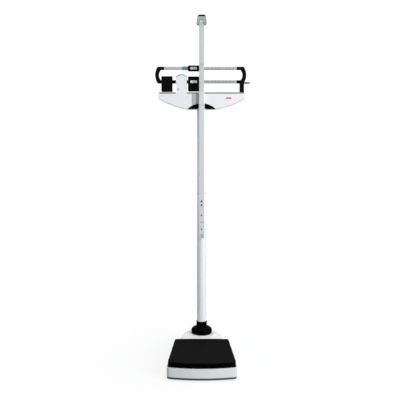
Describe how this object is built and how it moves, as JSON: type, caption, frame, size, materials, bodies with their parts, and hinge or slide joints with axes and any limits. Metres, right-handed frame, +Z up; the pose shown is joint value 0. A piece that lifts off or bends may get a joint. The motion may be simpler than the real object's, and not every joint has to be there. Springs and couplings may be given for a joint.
{
  "type": "physician beam scale",
  "caption": "Free-standing mechanical body scale with a platform on a lever base, a column, a two-bar beam with sliding poises, and a telescopic height rod with a folding headpiece.",
  "frame": {"origin": "on the floor, in the middle of the outer box's footprint", "axes": "+X to the right of a person reading the beam, +Y from the platform towards the column, +Z up"},
  "size_m": [0.5206, 0.566, 1.8243],
  "materials": {
    "white_enamel": "gloss white powder coat",
    "black_paint": "satin black paint",
    "grey_paint": "satin grey paint",
    "dark_steel": "matte dark grey paint",
    "black_iron": "satin black paint over cast iron",
    "aluminium": "anodised, fine brushing",
    "steel": "zinc plated",
    "black_plastic": "moulded black, soft gloss",
    "grey_plastic": "moulded grey, fine grain",
    "teal_plastic": "moulded grey-teal",
    "black_rubber": "matte ribbed rubber",
    "level_glass": "clear with yellow-green liquid"
  },
  "bodies": {
    "root": {"base_tray": "white_enamel", "base_plate": "dark_steel", "plinth_cover": "white_enamel", "column_pedestal": "steel", "column_socket": "black_plastic", "spirit_level_body": "grey_paint", "spirit_level_glass": "level_glass", "wheel_axle": "steel", "lever_stand_front": "steel", "lever_stand_rear": "steel", "column_lower": "white_enamel", "column_upper": "white_enamel", "column_sleeve": "steel", "head_saddle": "black_plastic", "head_shell_front": "white_enamel", "head_shell_rear": "white_enamel", "head_lid": "grey_paint", "head_chassis": "steel", "tower_cap": "grey_paint", "tower_screw": "steel", "fulcrum_stand": "steel", "transfer_stand": "steel", "trig_post": "black_iron", "rod_outer": "aluminium", "rod_collar": "grey_paint", "rod_end_cap": "grey_plastic", "rod_bracket": "grey_paint", "rod_standoff_upper": "grey_plastic", "rod_standoff_lower": "grey_plastic"},
    "platform": {"platform_plate": "black_paint", "platform_mat": "black_rubber"},
    "long_lever": {"long_lever": "steel"},
    "short_lever": {"short_lever": "steel"},
    "draw_rod": {"draw_rod": "steel"},
    "transfer_lever": {"transfer_lever": "steel"},
    "beam_link": {"beam_link": "steel"},
    "beam": {"beam_yoke": "black_iron", "fulcrum_knife": "steel", "load_knife": "steel", "upper_bar": "aluminium", "lower_bar": "aluminium", "bracket_left": "black_iron", "bracket_right": "black_iron", "pointer": "black_iron", "stop_sleeve": "teal_plastic"},
    "upper_poise": {"upper_poise": "black_iron"},
    "lower_poise": {"lower_poise": "black_iron"},
    "counterweight": {"counterweight": "black_iron"},
    "counterweight_screw": {"counterweight_screw": "steel"},
    "rod_slide": {"rod_inner": "aluminium", "rod_head": "grey_plastic", "rod_head_cap": "black_plastic", "headpiece_pin": "steel"},
    "headpiece": {"headpiece": "aluminium"},
    "foot_front_left": {"foot_front_left": "black_rubber"},
    "foot_front_right": {"foot_front_right": "black_rubber"},
    "foot_rear_left": {"foot_rear_left": "black_rubber"},
    "foot_rear_right": {"foot_rear_right": "black_rubber"},
    "wheel_left": {"wheel_left": "black_rubber"},
    "wheel_right": {"wheel_right": "black_rubber"}
  },
  "joints": [
    {"name": "beam_tilt", "type": "hinge", "parent": "root", "child": "beam", "pos_m": [-0.1155, 0.197, 1.469], "axis": [0, -1, 0], "range_deg": [-1.5, 1.5]},
    {"name": "beam_link_slide", "type": "slide", "parent": "root", "child": "beam_link", "axis": [0, 0, 1], "range_m": [-0.000401, 0.000401]},
    {"name": "transfer_tilt", "type": "hinge", "parent": "root", "child": "transfer_lever", "pos_m": [0.145, 0.197, 1.382], "axis": [0, -1, 0], "range_deg": [-0.0834, 0.0834]},
    {"name": "draw_rod_slide", "type": "slide", "parent": "root", "child": "draw_rod", "axis": [0, 0, 1], "range_m": [-0.000219, 0.000219]},
    {"name": "long_lever_tilt", "type": "hinge", "parent": "root", "child": "long_lever", "pos_m": [-0.005, -0.203, 0.026], "axis": [-1, 0, 0], "range_deg": [-0.0313, 0.0313]},
    {"name": "short_lever_tilt", "type": "hinge", "parent": "root", "child": "short_lever", "pos_m": [-0.005, 0.057, 0.044], "axis": [1, 0, 0], "range_deg": [-0.023, 0.023]},
    {"name": "platform_slide", "type": "slide", "parent": "root", "child": "platform", "axis": [0, 0, 1], "range_m": [-0.0000219, 0.0000219]},
    {"name": "upper_poise_slide", "type": "slide", "parent": "beam", "child": "upper_poise", "axis": [1, 0, 0], "range_m": [0, 0.2]},
    {"name": "lower_poise_slide", "type": "slide", "parent": "beam", "child": "lower_poise", "axis": [1, 0, 0], "range_m": [0, 0.2]},
    {"name": "counterweight_slide", "type": "slide", "parent": "beam", "child": "counterweight", "axis": [1, 0, 0], "range_m": [-0.002, 0.012]},
    {"name": "counterweight_screw_turn", "type": "hinge", "parent": "counterweight", "child": "counterweight_screw", "pos_m": [-0.1955, 0.197, 1.4735], "axis": [0, 1, 0], "continuous": true},
    {"name": "rod_extend", "type": "slide", "parent": "root", "child": "rod_slide", "axis": [0, 0, 1], "range_m": [-0.355, 0.26]},
    {"name": "headpiece_fold", "type": "hinge", "parent": "rod_slide", "child": "headpiece", "pos_m": [-0.005, 0.134, 1.788], "axis": [-1, 0, 0], "range_deg": [0, 90]},
    {"name": "foot_front_left_turn", "type": "hinge", "parent": "root", "child": "foot_front_left", "pos_m": [-0.145, -0.235, 0], "axis": [0, 0, 1], "continuous": true},
    {"name": "foot_front_right_turn", "type": "hinge", "parent": "root", "child": "foot_front_right", "pos_m": [0.135, -0.235, 0], "axis": [0, 0, 1], "continuous": true},
    {"name": "foot_rear_left_turn", "type": "hinge", "parent": "root", "child": "foot_rear_left", "pos_m": [-0.073, 0.219, 0], "axis": [0, 0, 1], "continuous": true},
    {"name": "foot_rear_right_turn", "type": "hinge", "parent": "root", "child": "foot_rear_right", "pos_m": [0.063, 0.219, 0], "axis": [0, 0, 1], "continuous": true},
    {"name": "wheel_left_spin", "type": "hinge", "parent": "root", "child": "wheel_left", "pos_m": [-0.057, 0.257, 0.018], "axis": [1, 0, 0], "continuous": true},
    {"name": "wheel_right_spin", "type": "hinge", "parent": "root", "child": "wheel_right", "pos_m": [0.047, 0.257, 0.018], "axis": [1, 0, 0], "continuous": true}
  ],
  "couplings": [
    {"joint": "beam_link_slide", "follows": "beam_tilt", "m_per_rad": -0.015},
    {"joint": "transfer_tilt", "follows": "beam_tilt", "ratio": 0.054446},
    {"joint": "draw_rod_slide", "follows": "beam_tilt", "m_per_rad": -0.008167},
    {"joint": "long_lever_tilt", "follows": "beam_tilt", "ratio": 0.020417},
    {"joint": "short_lever_tilt", "follows": "beam_tilt", "ratio": 0.014973},
    {"joint": "platform_slide", "follows": "beam_tilt", "m_per_rad": -0.0008167}
  ]
}
